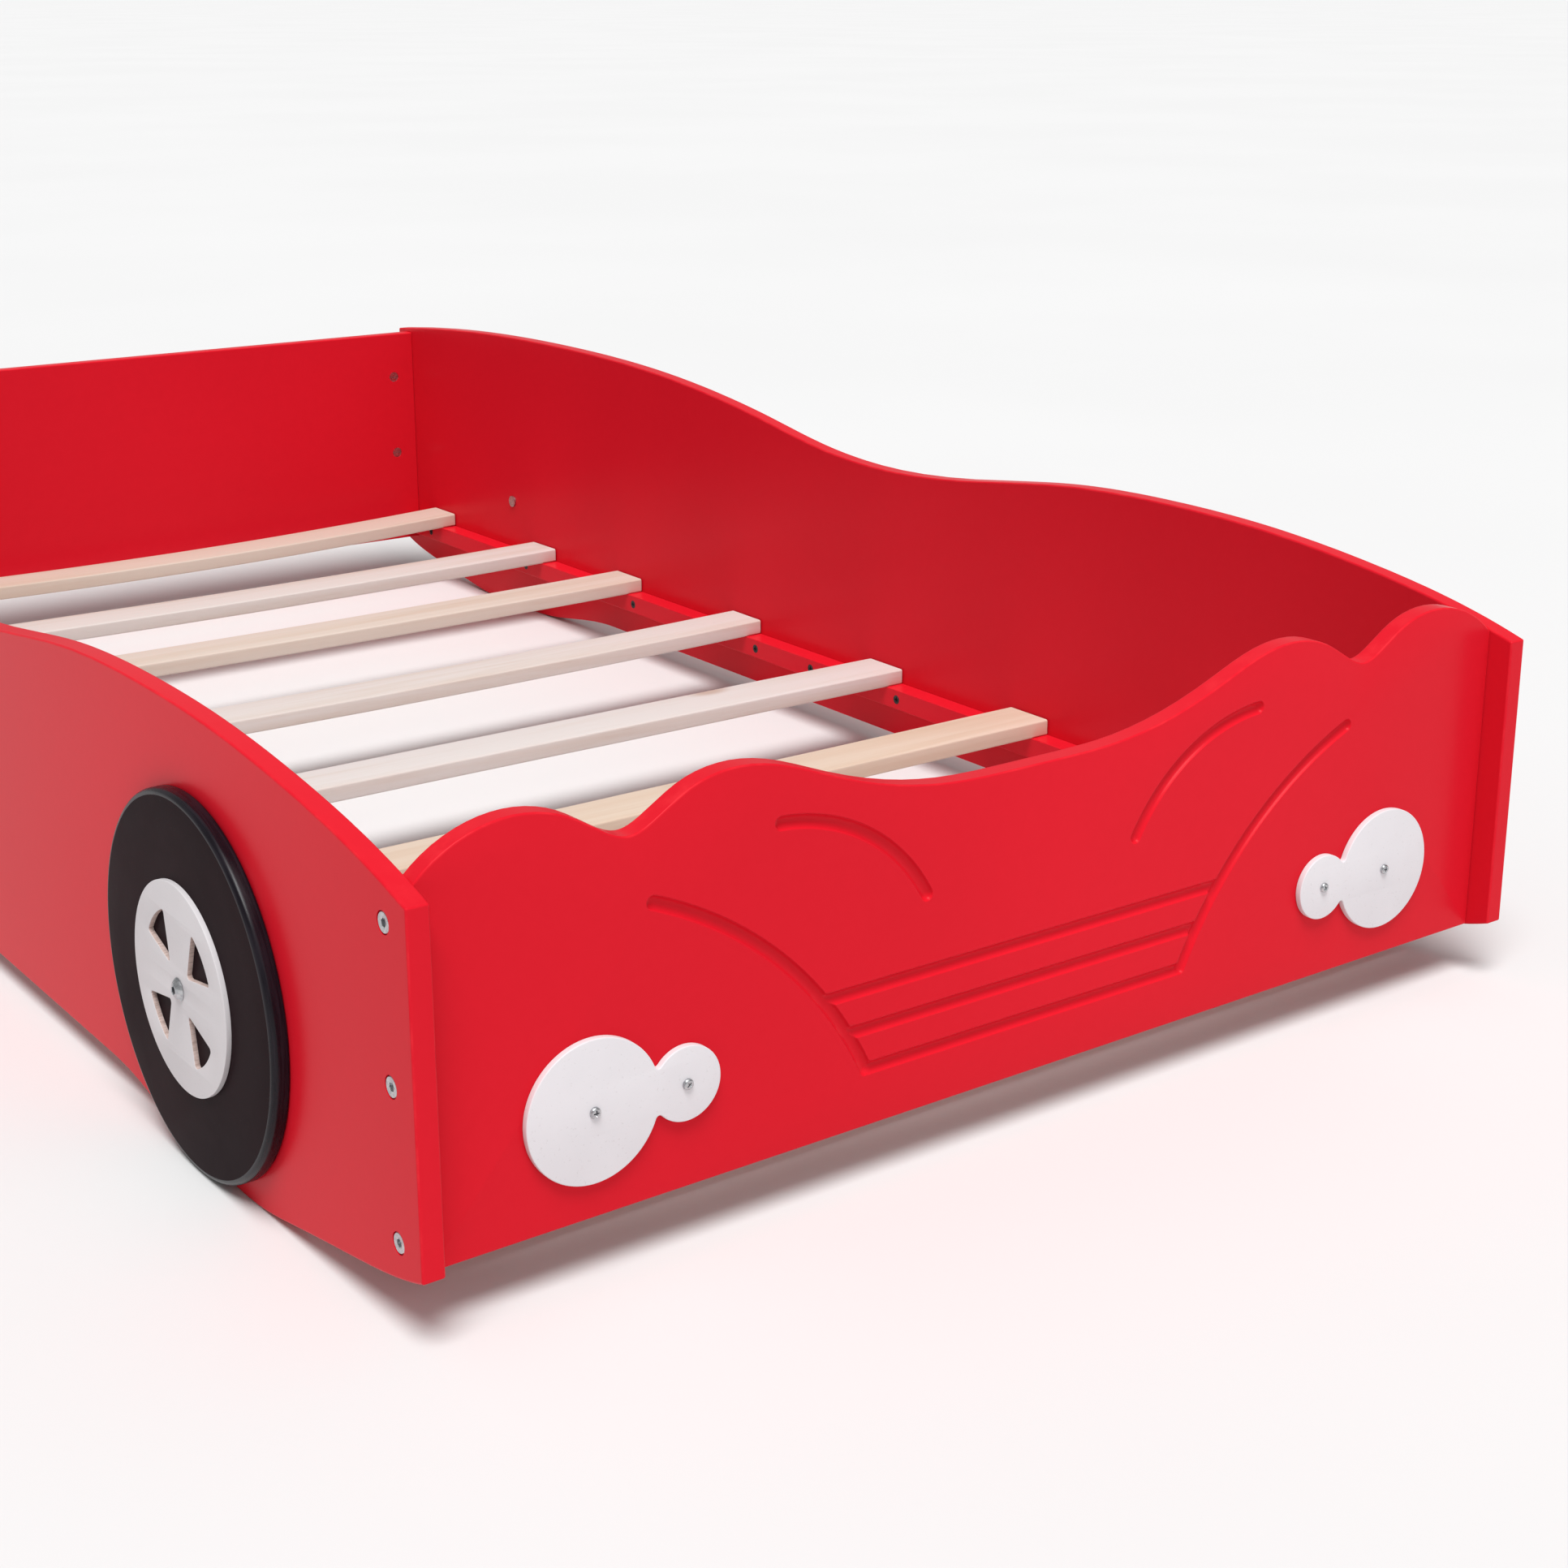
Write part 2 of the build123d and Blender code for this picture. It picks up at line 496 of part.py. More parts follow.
# --- the whole bed ------------------------------------------------------------------------------------
def build():
    """Every node of the bed as (name, shape)."""
    nodes = [("front_panel", front_panel()), ("headboard_panel", headboard_panel())]
    for side_name, side in SIDES.items():
        nodes.append((f"{side_name}_side_panel", side_panel(side)))
        nodes.append((f"{side_name}_slat_rail", slat_rail(side)))
        nodes.append((f"{side_name}_headlight", headlight_plate(side)))
        for end in ENDS:
            plane = wheel_plane(side, end)
            angle = WHEEL_REST_ANGLE[(end, side_name)] * side
            nodes.append((f"{end}_{side_name}_tyre", plane * tyre_disc()))
            nodes.append((f"{end}_{side_name}_hub", plane * Pos(0, 0, TYRE_THICKNESS) * hub_disc(angle)))
    for number, (y, sag) in enumerate(SLATS, start=1):
        nodes.append((f"slat_{number}", slat(y, sag)))
    corners = [(side, end) for side in SIDES.values() for end in ENDS]
    nodes.append(group("wheel_bolts", [wheel_bolt(side, end) for side, end in corners]))
    nodes.append(group("wheel_sleeve_nuts", [sleeve_nut(side, end) for side, end in corners]))
    nodes.append(group("headlight_screws", [headlight_screw(place) for place in headlight_screw_places()]))
    nodes.append(group("corner_bolts", [corner_bolt(side, place) for side in SIDES.values()
                                        for place in corner_bolt_places(side)]))
    nodes.append(group("barrel_nuts", [barrel_nut(side, end, z) for side in SIDES.values()
                                       for end in ENDS.values() for z in CORNER_BOLT_HEIGHTS]))
    nodes.append(group("rail_screws", [flat_screw(rail_screw_start(side, y), (side, 0, 0))
                                       for side in SIDES.values() for y in rail_screw_places()]))
    nodes.append(group("slat_screws", [flat_screw(slat_screw_start(side, y), (0, 0, 1))
                                       for side in SIDES.values() for y, _ in SLATS]))
    return nodes


def main():
    """Write one STEP file for each node."""
    os.makedirs("parts", exist_ok=True)
    for name, shape in build():
        shape.label = name
        export_step(shape, f"parts/{name}.step")


main()
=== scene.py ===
"""The looks of the race-car toddler bed: paint, bare wood, wheels, headlights, light and camera.

Units are metres in the bed's own frame: +X right, +Y towards the headboard, +Z up, origin on the floor.
"""
import math
import random

import bmesh
import bpy
import numpy as np
from mathutils import Matrix, Vector
from mathutils.geometry import delaunay_2d_cdt


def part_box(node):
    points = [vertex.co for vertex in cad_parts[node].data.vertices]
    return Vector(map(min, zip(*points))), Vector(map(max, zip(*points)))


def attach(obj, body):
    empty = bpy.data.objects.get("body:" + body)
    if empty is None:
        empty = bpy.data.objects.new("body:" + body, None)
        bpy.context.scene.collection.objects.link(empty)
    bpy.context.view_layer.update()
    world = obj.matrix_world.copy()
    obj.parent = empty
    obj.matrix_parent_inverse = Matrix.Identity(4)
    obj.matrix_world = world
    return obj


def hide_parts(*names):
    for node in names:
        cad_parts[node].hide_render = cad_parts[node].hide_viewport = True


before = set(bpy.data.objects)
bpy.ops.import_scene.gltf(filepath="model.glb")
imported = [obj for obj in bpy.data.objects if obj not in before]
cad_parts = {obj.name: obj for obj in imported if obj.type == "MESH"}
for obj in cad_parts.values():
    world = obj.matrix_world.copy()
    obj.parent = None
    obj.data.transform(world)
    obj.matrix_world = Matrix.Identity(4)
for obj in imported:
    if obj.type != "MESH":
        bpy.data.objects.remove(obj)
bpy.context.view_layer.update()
MM = 0.001
WELD_GAP = 1e-6              # points this close are one point

# --- camera and light ---------------------------------------------------------------------------------
CAMERA_PLACE = (-0.8294, -1.5936, 0.6003)
CAMERA_YAW = 36.33           # degrees to the right of +Y
CAMERA_PITCH = 16.52         # degrees below level
CAMERA_LENS = 56.5
CAMERA_SHIFT_Y = -0.05
FLOOR_SIZE = 400.0
WORLD_LIGHT = 0.36
BACKDROP = 0.93              # the same surround as the camera sees it
KEY_LIGHT = 3.1
KEY_SPREAD = 30.0            # degrees across
KEY_DIRECTION = (0.25, 0.35, -1.0)
FILL_LIGHT = 0.33
FILL_SPREAD = 40.0
FILL_DIRECTION = (-0.15, 1.0, -0.4)

# --- foot panel, grooves as (distance from the middle, height) in millimetres --------------------------
PANEL_ARRIS = 1.2 * MM
ARRIS_STEPS = 5
GROOVE_R = 4.0 * MM
ARC_DEPTH = 3.0 * MM
GRILLE_DEPTH = 2.6 * MM
LONG_ARC = ((240.0, 184.3), (160.5, 131.7), (112.5, 64.4))
SHORT_ARC = ((165.5, 208.2), (109.0, 189.2), (73.5, 150.8))
GRILLE_LINES = ((139.2, 108.6), (122.3, 86.8), (111.8, 64.4))
GRILLE_TRIM = 3              # mesh steps
GROOVE_STEP = 1.2 * MM       # spacing of the mesh along a groove
GROOVE_RINGS = 7             # from the middle of a groove to its edge
GROOVE_CAP_STEPS = 12
GROOVE_LIP = 0.4 * MM        # flat strip beside a groove, which keeps the rest of the face's shading flat
CORNER_BOLT_HEIGHTS = (48.5 * MM, 126.0 * MM, 204.5 * MM)
BARREL_INSET = 22.7 * MM     # from the end of the panel
BARREL_R = 5.0 * MM
BARREL_DEPTH = 10.4 * MM

# --- bolts and screws ---------------------------------------------------------------------------------
HEAD_SEGMENTS = 48
HEAD_TURN = 0.7              # radians from one head's socket to the next one's
SOCKET_R = 2.0 * MM          # half across flats
SOCKET_DEPTH = 2.6 * MM
SOCKET_MOUTH = 0.25 * MM     # depth of the chamfer round a socket
CORNER_HEAD_R = 5.3 * MM
CORNER_HEAD = 1.8 * MM
CORNER_SINK = 2.0 * MM
CORNER_CHAMFER = 0.45 * MM
CORNER_FLAT_R = 1.35 * SOCKET_R
WHEEL_HEAD_R = 6.2 * MM
WHEEL_HEAD = 3.4 * MM
WHEEL_DOME_INNER_R = 1.3 * SOCKET_R
WHEEL_MOUTH = 0.2 * MM
WHEEL_HEAD_STEPS = 9
PAN_HEAD_R = 2.9 * MM
PAN_HEAD = 1.9 * MM
PAN_ROUND = 1.1 * MM         # rounding of the pan head, inwards and upwards
PAN_RISE = 1.14 * MM
PAN_STEPS = 6
CROSS_DEPTH = 1.3 * MM
CROSS_R = 1.75 * MM
CROSS_WAIST = 0.34           # radius between the cross's arms, as a share of its full radius
CROSS_TAPER = 0.45           # size of the recess at its bottom, as a share of its mouth
HEAD_GAP = 0.3 * MM          # between a wheel bolt's head and the hub

# --- slats --------------------------------------------------------------------------------------------
SLAT_SEED = 100
SLAT_THICKNESS = 12 * MM
SLAT_EDGE_R = 1.5 * MM
SLAT_EDGE_STEPS = 5
SLAT_STATIONS = 72
SLAT_END_R = 0.5 * MM
SLAT_PLANED_OFF = 0.3 * MM   # narrower than the CAD slat, to leave room for its wobble
SLAT_WOBBLE = 0.12 * MM
SLAT_WAVES = ((9, 1.0), (23, 0.6))      # rate along half a slat in radians, share of the wobble
SLAT_TWIST = 0.35            # degrees at most, at the ends
SLAT_TONES = (0.75, 0.15, 0.6, 0.1, 0.0, 1.0, 0.3, 0.85)      # 0 is pale and pinkish, 1 is tan
# painted shade per slat: a brightness factor on each slat's colour that stands in for less light reaching it
SLAT_PAINTED_SHADES = (0.85, 0.92, 0.91, 0.95, 0.97, 0.96, 0.94, 0.96)

# --- wheels -------------------------------------------------------------------------------------------
WHEEL_SEGMENTS = 192
TYRE_EDGE_R = 3.4 * MM
TYRE_EDGE_STEPS = 10
TYRE_BACK_R = 1.0 * MM
TYRE_BACK_STEPS = 4
TYRE_BORE_R = 4.06 * MM
TYRE_FACE_RINGS = (85 * MM, 70 * MM, 57.5 * MM, 45 * MM, 20 * MM, TYRE_BORE_R)
TYRE_BACK_RING = 50 * MM
HUB_RIM = 5 * MM             # no window reaches this close to the hub's edge
HUB_BEVEL = 0.35 * MM
WINDOW_ARC_R = 41.8 * MM
WINDOW_APEX_R = 14.4 * MM
WINDOW_HALF_ANGLE = 20.3
WINDOW_CORNER_R = 1.8 * MM
WINDOW_CORNER_STEPS = 6
WINDOW_ARC_STEPS = 16
WINDOW_COUNT = 4
FIRST_WINDOW = 45.0          # degrees from the hub's own zero
HUB_TURNS = {("front", "left"): 5.2, ("front", "right"): -14.0,
             ("rear", "left"): 21.0, ("rear", "right"): -8.0}

# --- headlights ---------------------------------------------------------------------------------------
LIGHT_BIG_R = 37.0 * MM
LIGHT_SMALL_R = 19.6 * MM
LIGHT_SPACING = 52.6 * MM
LIGHT_NOTCH_R = 2.0 * MM
LIGHT_BEVEL = 0.6 * MM

SIDES = {"left": -1, "right": 1}
ENDS = ("front", "rear")


# --- shader nodes -------------------------------------------------------------------------------------
class Shader:
    """A material under construction: short names for the nodes that this scene uses."""

    def __init__(self, name):
        self.material = bpy.data.materials.new(name)
        self.material.use_nodes = True
        self.tree = self.material.node_tree
        self.surface = self.tree.nodes["Principled BSDF"]
        self.coords = self.tree.nodes.new("ShaderNodeTexCoord").outputs["Object"]

    def node(self, kind, inputs=None, **settings):
        """A node with its settings and inputs. An input is a value or another node's output."""
        made = self.tree.nodes.new(kind)
        for key, value in settings.items():
            setattr(made, key, value)
        for key, value in (inputs or {}).items():
            self.feed(made.inputs[key], value)
        return made

    def feed(self, socket, value):
        """Link an output to a socket, or set the socket's value."""
        if isinstance(value, bpy.types.NodeSocket):
            self.tree.links.new(value, socket)
        else:
            socket.default_value = value

    def stretched(self, scale, shift=(0, 0, 0)):
        """Object coordinates, scaled along each axis and shifted."""
        inputs = {"Vector": self.coords, "Scale": scale, "Location": shift}
        return self.node("ShaderNodeMapping", inputs).outputs[0]

    def noise(self, scale, detail=3.0, vector=None, rough=0.5, distortion=0.0):
        """Noise from 0 to 1."""
        inputs = {"Vector": vector or self.coords, "Scale": scale, "Detail": detail, "Roughness": rough,
                  "Distortion": distortion}
        return self.node("ShaderNodeTexNoise", inputs).outputs["Fac"]

    def math(self, operation, a, b=0.0):
        """One arithmetic step."""
        return self.node("ShaderNodeMath", {0: a, 1: b}, operation=operation).outputs[0]

    def span(self, value, low, high, to_low=0.0, to_high=1.0):
        """Smooth remap of a value from one range to another."""
        inputs = {"Value": value, "From Min": low, "From Max": high, "To Min": to_low, "To Max": to_high}
        return self.node("ShaderNodeMapRange", inputs, interpolation_type="SMOOTHSTEP").outputs[0]

    def mix(self, factor, a, b):
        """Colour mix."""
        made = self.node("ShaderNodeMix", data_type="RGBA")
        self.feed(made.inputs[0], factor)
        self.feed(made.inputs[6], a)
        self.feed(made.inputs[7], b)
        return made.outputs[2]

    def bump(self, height, distance, strength):
        """Bump from a height, in metres of depth."""
        inputs = {"Height": height, "Distance": distance, "Strength": strength}
        return self.node("ShaderNodeBump", inputs).outputs["Normal"]

    def facing(self, axis):
        """How far a face points along an axis, from 0 to 1, either way."""
        normal = self.node("ShaderNodeNewGeometry").outputs["Normal"]
        part = self.node("ShaderNodeSeparateXYZ", {0: normal}).outputs[axis]
        return self.math("ABSOLUTE", part)

    def finish(self, **sockets):
        """Feed the principled shader's sockets, named with underscores, and return the material."""
        for key, value in sockets.items():
            self.feed(self.surface.inputs[key.replace("_", " ")], value)
        return self.material


def rgb(red, green, blue):
    """Linear colour with full alpha."""
    return (red, green, blue, 1.0)


# --- materials ----------------------------------------------------------------------------------------
def red_paint(name, wear_and_highlight):
    """Sprayed satin paint on fibreboard: a faint orange peel, and arrises lighter in colour, partly wear and
    partly a painted highlight.
    """
    s = Shader(name)
    drift = s.span(s.noise(2.2, 2.0), 0.3, 0.7)
    fleck = s.span(s.noise(160.0, 4.0), 0.3, 0.7)
    colour = s.mix(drift, rgb(0.655, 0.0096, 0.0218), rgb(0.705, 0.0112, 0.0248))
    colour = s.mix(s.math("MULTIPLY", fleck, 0.05), colour, rgb(0.53, 0.0035, 0.010))
    arris = arris_mask(s)
    # mask of the arrises: lighter red there is partly wear and partly a painted highlight
    worn_and_highlight = s.math("MULTIPLY", arris, s.span(s.noise(55.0, 5.0, rough=0.65), 0.42, 0.72))
    colour = s.mix(s.math("MULTIPLY", worn_and_highlight, wear_and_highlight), colour, rgb(0.85, 0.045, 0.055))
    peel = s.noise(380.0, 1.0)
    rough = s.math("ADD", s.math("MULTIPLY", worn_and_highlight, 0.5 * wear_and_highlight), 0.275)
    return s.finish(Base_Color=colour, Roughness=rough, Normal=s.bump(peel, 0.00003, 0.35), IOR=1.15)


def arris_mask(s):
    """1 on a rounded arris between two square faces, 0 on the faces themselves."""
    spread = s.math("MULTIPLY", s.facing("X"), s.math("MAXIMUM", s.facing("Y"), s.facing("Z")))
    other = s.math("MULTIPLY", s.facing("Y"), s.facing("Z"))
    return s.span(s.math("MAXIMUM", spread, other), 0.15, 0.42)


def slat_wood(number, tone, shade):
    """Bare planed softwood: long grain, growth bands, a few knots, darker end grain, all darkened by the
    slat's painted shade.
    """
    s = Shader(f"slat_wood_{number}")
    shift = (3.7 * number, 1.3 * number, 0.7 * number)
    grain_at = s.stretched((2.2, 46.0, 60.0), shift)
    grain = s.noise(1.0, 6.0, grain_at, rough=0.62, distortion=0.35)
    band_at = s.stretched((0.9, 15.0, 18.0), shift)
    bands = s.noise(1.0, 3.0, band_at, rough=0.5, distortion=1.1)
    pore_at = s.stretched((30.0, 900.0, 900.0), shift)
    pores = s.noise(1.0, 3.0, pore_at, rough=0.7)
    pale = (0.70, 0.655, 0.63)
    tan = (0.72, 0.60, 0.485)
    # shade is a painted shade that darkens the whole slat where less light reaches it
    light = [shade * (p + (t - p) * tone) for p, t in zip(pale, tan)]
    dark = [0.90 * light[0], 0.83 * light[1], 0.77 * light[2]]
    colour = s.mix(s.span(grain, 0.42, 0.74), rgb(*light), rgb(*dark))
    colour = s.mix(s.math("MULTIPLY", s.span(bands, 0.5, 0.68), 0.42), colour,
                   rgb(light[0] * 0.93, light[1] * 0.85, light[2] * 0.79))
    colour = s.mix(s.math("MULTIPLY", s.span(pores, 0.60, 0.75), 0.22), colour, rgb(0.45, 0.30, 0.22))
    knot_at = s.stretched((5.5, 11.0, 11.0), shift)
    knot = s.node("ShaderNodeTexVoronoi", {"Vector": knot_at, "Scale": 1.0}, feature="F1").outputs["Distance"]
    knots = s.span(s.math("ADD", knot, s.math("MULTIPLY", grain, 0.05)), 0.16, 0.06)
    colour = s.mix(s.math("MULTIPLY", knots, 0.55), colour, rgb(0.40, 0.23, 0.14))
    ends = s.span(s.facing("X"), 0.6, 0.9)
    colour = s.mix(s.math("MULTIPLY", ends, 0.35), colour, rgb(0.62, 0.45, 0.36))
    height = s.math("ADD", grain, s.math("MULTIPLY", pores, 0.5))
    rough = s.span(grain, 0.3, 0.7, 0.50, 0.66)
    return s.finish(Base_Color=colour, Roughness=rough, Normal=s.bump(height, 0.00018, 0.5),
                    Specular_IOR_Level=0.35)


def tyre_paint():
    """Satin black paint, slightly brown, on the flat face of a tyre."""
    s = Shader("tyre_black_satin")
    cloud = s.span(s.noise(14.0, 4.0), 0.3, 0.7)
    colour = s.mix(cloud, rgb(0.016, 0.0080, 0.0098), rgb(0.023, 0.0120, 0.0140))
    dust = s.math("MULTIPLY", s.span(s.noise(900.0, 2.0), 0.66, 0.78), 0.25)
    colour = s.mix(dust, colour, rgb(0.09, 0.075, 0.075))
    rough = s.span(s.noise(30.0, 5.0), 0.3, 0.7, 0.30, 0.38)
    return s.finish(Base_Color=colour, Roughness=rough, Normal=s.bump(s.noise(500.0, 2.0), 0.00003, 0.35),
                    IOR=1.055)


def tyre_wall_paint():
    """Glossier, deeper black on a tyre's rounded edge, with faint marks of the router along the rim."""
    s = Shader("tyre_black_wall")
    streak = s.noise(1.0, 4.0, s.stretched((700.0, 30.0, 30.0)), rough=0.6)
    colour = s.mix(s.span(streak, 0.35, 0.7), rgb(0.006, 0.0045, 0.0075), rgb(0.013, 0.010, 0.015))
    rough = s.span(streak, 0.3, 0.7, 0.22, 0.34)
    return s.finish(Base_Color=colour, Roughness=rough, Normal=s.bump(streak, 0.00005, 0.5),
                    IOR=1.28)


def board_face(name, light, shade):
    """Off-white painted thin board with faint speckle."""
    s = Shader(name)
    cloud = s.span(s.noise(18.0, 5.0), 0.3, 0.7)
    colour = s.mix(cloud, light, shade)
    speck = s.math("MULTIPLY", s.span(s.noise(700.0, 2.0), 0.64, 0.76), 0.25)
    colour = s.mix(speck, colour, rgb(0.42, 0.38, 0.38))
    rough = s.span(s.noise(22.0, 4.0), 0.3, 0.7, 0.42, 0.52)
    return s.finish(Base_Color=colour, Roughness=rough, Normal=s.bump(s.noise(480.0, 2.0), 0.00003, 0.4),
                    Specular_IOR_Level=0.4)


def raw_board_edge():
    """Sawn edge of thin fibreboard where the paint is thin: pinkish brown with fine saw lines."""
    s = Shader("board_edge_raw")
    saw = s.noise(1.0, 3.0, s.stretched((120.0, 900.0, 900.0)), rough=0.7)
    colour = s.mix(s.span(saw, 0.35, 0.7), rgb(0.66, 0.52, 0.48), rgb(0.44, 0.32, 0.28))
    return s.finish(Base_Color=colour, Roughness=s.span(saw, 0.3, 0.7, 0.7, 0.9),
                    Normal=s.bump(saw, 0.00025, 0.8), Specular_IOR_Level=0.2)


def zinc():
    """Zinc-plated steel: mottled, with fine turning marks."""
    s = Shader("zinc_plate")
    mottle = s.span(s.noise(420.0, 4.0), 0.3, 0.7)
    colour = s.mix(mottle, rgb(0.40, 0.41, 0.43), rgb(0.56, 0.57, 0.58))
    rough = s.span(s.noise(900.0, 3.0), 0.3, 0.7, 0.24, 0.42)
    return s.finish(Base_Color=colour, Metallic=1.0, Roughness=rough,
                    Normal=s.bump(s.noise(1500.0, 2.0), 0.00003, 0.5))


def dark_screw():
    """Black phosphated screws."""
    s = Shader("black_phosphate")
    mottle = s.span(s.noise(600.0, 4.0), 0.3, 0.7)
    colour = s.mix(mottle, rgb(0.018, 0.017, 0.018), rgb(0.05, 0.045, 0.045))
    return s.finish(Base_Color=colour, Metallic=0.7, Roughness=s.span(mottle, 0.0, 1.0, 0.38, 0.55),
                    Normal=s.bump(mottle, 0.00003, 0.5))


def floor_paint():
    """Pale seamless studio floor."""
    s = Shader("studio_floor")
    colour = s.mix(s.span(s.noise(0.8, 3.0), 0.3, 0.7), rgb(0.73, 0.73, 0.73), rgb(0.745, 0.745, 0.745))
    return s.finish(Base_Color=colour, Roughness=0.8, Specular_IOR_Level=0.2)


# --- mesh helpers -------------------------------------------------------------------------------------
def piece(mesh, place, body, materials, node):
    """Make a mesh into a piece that rides on a body and stands for a CAD node."""
    bm = bmesh.new()
    bm.from_mesh(mesh)
    bmesh.ops.recalc_face_normals(bm, faces=bm.faces)
    bm.to_mesh(mesh)
    bm.free()
    obj = bpy.data.objects.new(mesh.name, mesh)
    bpy.context.scene.collection.objects.link(obj)
    obj.location = place
    for material in materials:
        mesh.materials.append(material)
    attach(obj, body)
    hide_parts(node)
    return obj


def smooth(mesh, angle):
    """Smooth shading except across sharp edges."""
    mesh.shade_smooth()
    mesh.set_sharp_from_angle(angle=math.radians(angle))


def arc(centre, radius, start, end, steps):
    """Points along an arc, angles in degrees."""
    angles = [math.radians(start + (end - start) * i / steps) for i in range(steps + 1)]
    return [(centre[0] + radius * math.cos(a), centre[1] + radius * math.sin(a)) for a in angles]


def facing_x(low, high, sign):
    """The x of a box's face towards one side of the bed."""
    return high.x if sign > 0 else low.x


def plate(name, loops, thickness, bevel):
    """A flat plate with rounded edges from closed 2-D loops, the first one outside. Its middle is z = 0."""
    curve = bpy.data.curves.new(name, "CURVE")
    curve.dimensions = "2D"
    curve.fill_mode = "BOTH"
    curve.extrude = thickness / 2 - bevel
    curve.bevel_depth = bevel
    curve.bevel_resolution = 3
    curve.offset = -bevel
    for points in loops:
        spline = curve.splines.new("POLY")
        spline.points.add(len(points) - 1)
        for point, (x, y) in zip(spline.points, points):
            point.co = (x, y, 0, 1)
        spline.use_cyclic_u = True
    obj = bpy.data.objects.new(name, curve)
    mesh = bpy.data.meshes.new_from_object(obj)
    bpy.data.objects.remove(obj)
    bpy.data.curves.remove(curve)
    weld(mesh)
    return mesh


def weld(mesh):
    """Join vertices that coincide."""
    bm = bmesh.new()
    bm.from_mesh(mesh)
    bmesh.ops.remove_doubles(bm, verts=bm.verts, dist=WELD_GAP)
    bm.to_mesh(mesh)
    bm.free()


def bridge(bm, rings):
    """Faces between each closed ring of vertices and the next."""
    for ring, following in zip(rings, rings[1:]):
        for i in range(len(ring)):
            j = (i + 1) % len(ring)
            bm.faces.new((ring[i], ring[j], following[j], following[i]))


def mesh_from(bm, name):
    """Turn a bmesh into a mesh with its faces right side out."""
    bmesh.ops.recalc_face_normals(bm, faces=bm.faces)
    mesh = bpy.data.meshes.new(name)
    bm.to_mesh(mesh)
    bm.free()
    return mesh


def lathe(name, profile, segments):
    """Turn a closed (radius, height) profile about Z."""
    bm = bmesh.new()
    rings = []
    for i in range(segments):
        angle = 2 * math.pi * i / segments
        rings.append([bm.verts.new((r * math.cos(angle), r * math.sin(angle), z)) for r, z in profile])
    bridge(bm, rings + rings[:1])
    return mesh_from(bm, name)


# --- foot panel ---------------------------------------------------------------------------------------
def rim_loop(node, level):
    """Outline of a panel as ordered (x, z), from the edges of its CAD node at one depth in y."""
    bm = bmesh.new()
    bm.from_mesh(node.data)
    bm.transform(node.matrix_world)
    bmesh.ops.remove_doubles(bm, verts=bm.verts, dist=WELD_GAP)
    rim = [edge for edge in bm.edges if all(abs(v.co.y - level) < 10 * WELD_GAP for v in edge.verts)]
    links = {}
    for edge in rim:
        for vert in edge.verts:
            links.setdefault(vert, []).append(edge.other_vert(vert))
    first = max(links, key=lambda v: (v.co.x, v.co.z))
    loop = [first]
    previous, current = first, links[first][0]
    while current is not first:
        loop.append(current)
        previous, current = current, next(v for v in links[current] if v is not previous)
    points = [(v.co.x, v.co.z) for v in loop]
    bm.free()
    area = sum(a[0] * b[1] - b[0] * a[1] for a, b in zip(points, points[1:] + points[:1]))
    return points if area > 0 else points[::-1]


def inset_loop(points, inset):
    """A counter-clockwise loop moved inwards."""
    moved = []
    for before, here, after in zip(points[-1:] + points[:-1], points, points[1:] + points[:1]):
        first = (Vector(here) - Vector(before)).normalized()
        second = (Vector(after) - Vector(here)).normalized()
        middle = (first + second).normalized()
        inward = Vector((-middle.y, middle.x))
        moved.append(tuple(Vector(here) + inward * inset / max(0.5, middle.dot(first))))
    return moved


def circle_centre(a, b, c):
    """Centre of the circle through three points."""
    d = 2 * (a.x * (b.y - c.y) + b.x * (c.y - a.y) + c.x * (a.y - b.y))
    squares = [p.length_squared for p in (a, b, c)]
    x = (squares[0] * (b.y - c.y) + squares[1] * (c.y - a.y) + squares[2] * (a.y - b.y)) / d
    y = (squares[0] * (c.x - b.x) + squares[1] * (a.x - c.x) + squares[2] * (b.x - a.x)) / d
    return Vector((x, y))


def arc_path(points, side):
    """Close points along the arc through three points."""
    ends = [Vector((side * x, z)) * MM for x, z in points]
    centre = circle_centre(*ends)
    start, middle, end = [math.degrees(math.atan2(p.y - centre.y, p.x - centre.x)) for p in ends]
    turn = (end - start) % 360
    if (middle - start) % 360 > turn:
        turn -= 360
    radius = (ends[0] - centre).length
    steps = round(radius * math.radians(abs(turn)) / GROOVE_STEP)
    return arc(centre, radius, start, start + turn, steps)


def line_path(half_length, z):
    """Close points along a level line across the middle."""
    steps = round(2 * half_length * MM / GROOVE_STEP)
    return [(half_length * MM * (2 * i / steps - 1), z * MM) for i in range(steps + 1)]


def groove_paths():
    """Every groove as (path, depth, meshed part).

    A grille line is not meshed where an arc swallows its end.
    """
    grooves = []
    for side in SIDES.values():
        for points in (LONG_ARC, SHORT_ARC):
            path = arc_path(points, side)
            grooves.append((path, ARC_DEPTH, path))
    for half, z in GRILLE_LINES:
        path = line_path(half, z)
        grooves.append((path, GRILLE_DEPTH, path[GRILLE_TRIM:-GRILLE_TRIM]))
    return grooves


def ring_about(path, distance):
    """The closed loop at a distance from a path, with round ends."""
    forward = []
    backward = []
    for before, here, after in zip(path[:1] + path[:-1], path, path[1:] + path[-1:]):
        along = (Vector(after) - Vector(before)).normalized()
        aside = Vector((-along.y, along.x)) * distance
        forward.append(tuple(Vector(here) + aside))
        backward.append(tuple(Vector(here) - aside))
    caps = []
    for end, inner in ((path[-1], path[-2]), (path[0], path[1])):
        out = math.degrees(math.atan2(end[1] - inner[1], end[0] - inner[0]))
        caps.append(arc(end, distance, out + 90, out - 90, GROOVE_CAP_STEPS)[1:-1])
    return forward + caps[0] + backward[::-1] + caps[1]


def groove_half_width(depth):
    """Half the width of a round-bottomed groove at the face."""
    return math.sqrt(GROOVE_R ** 2 - (GROOVE_R - depth) ** 2)


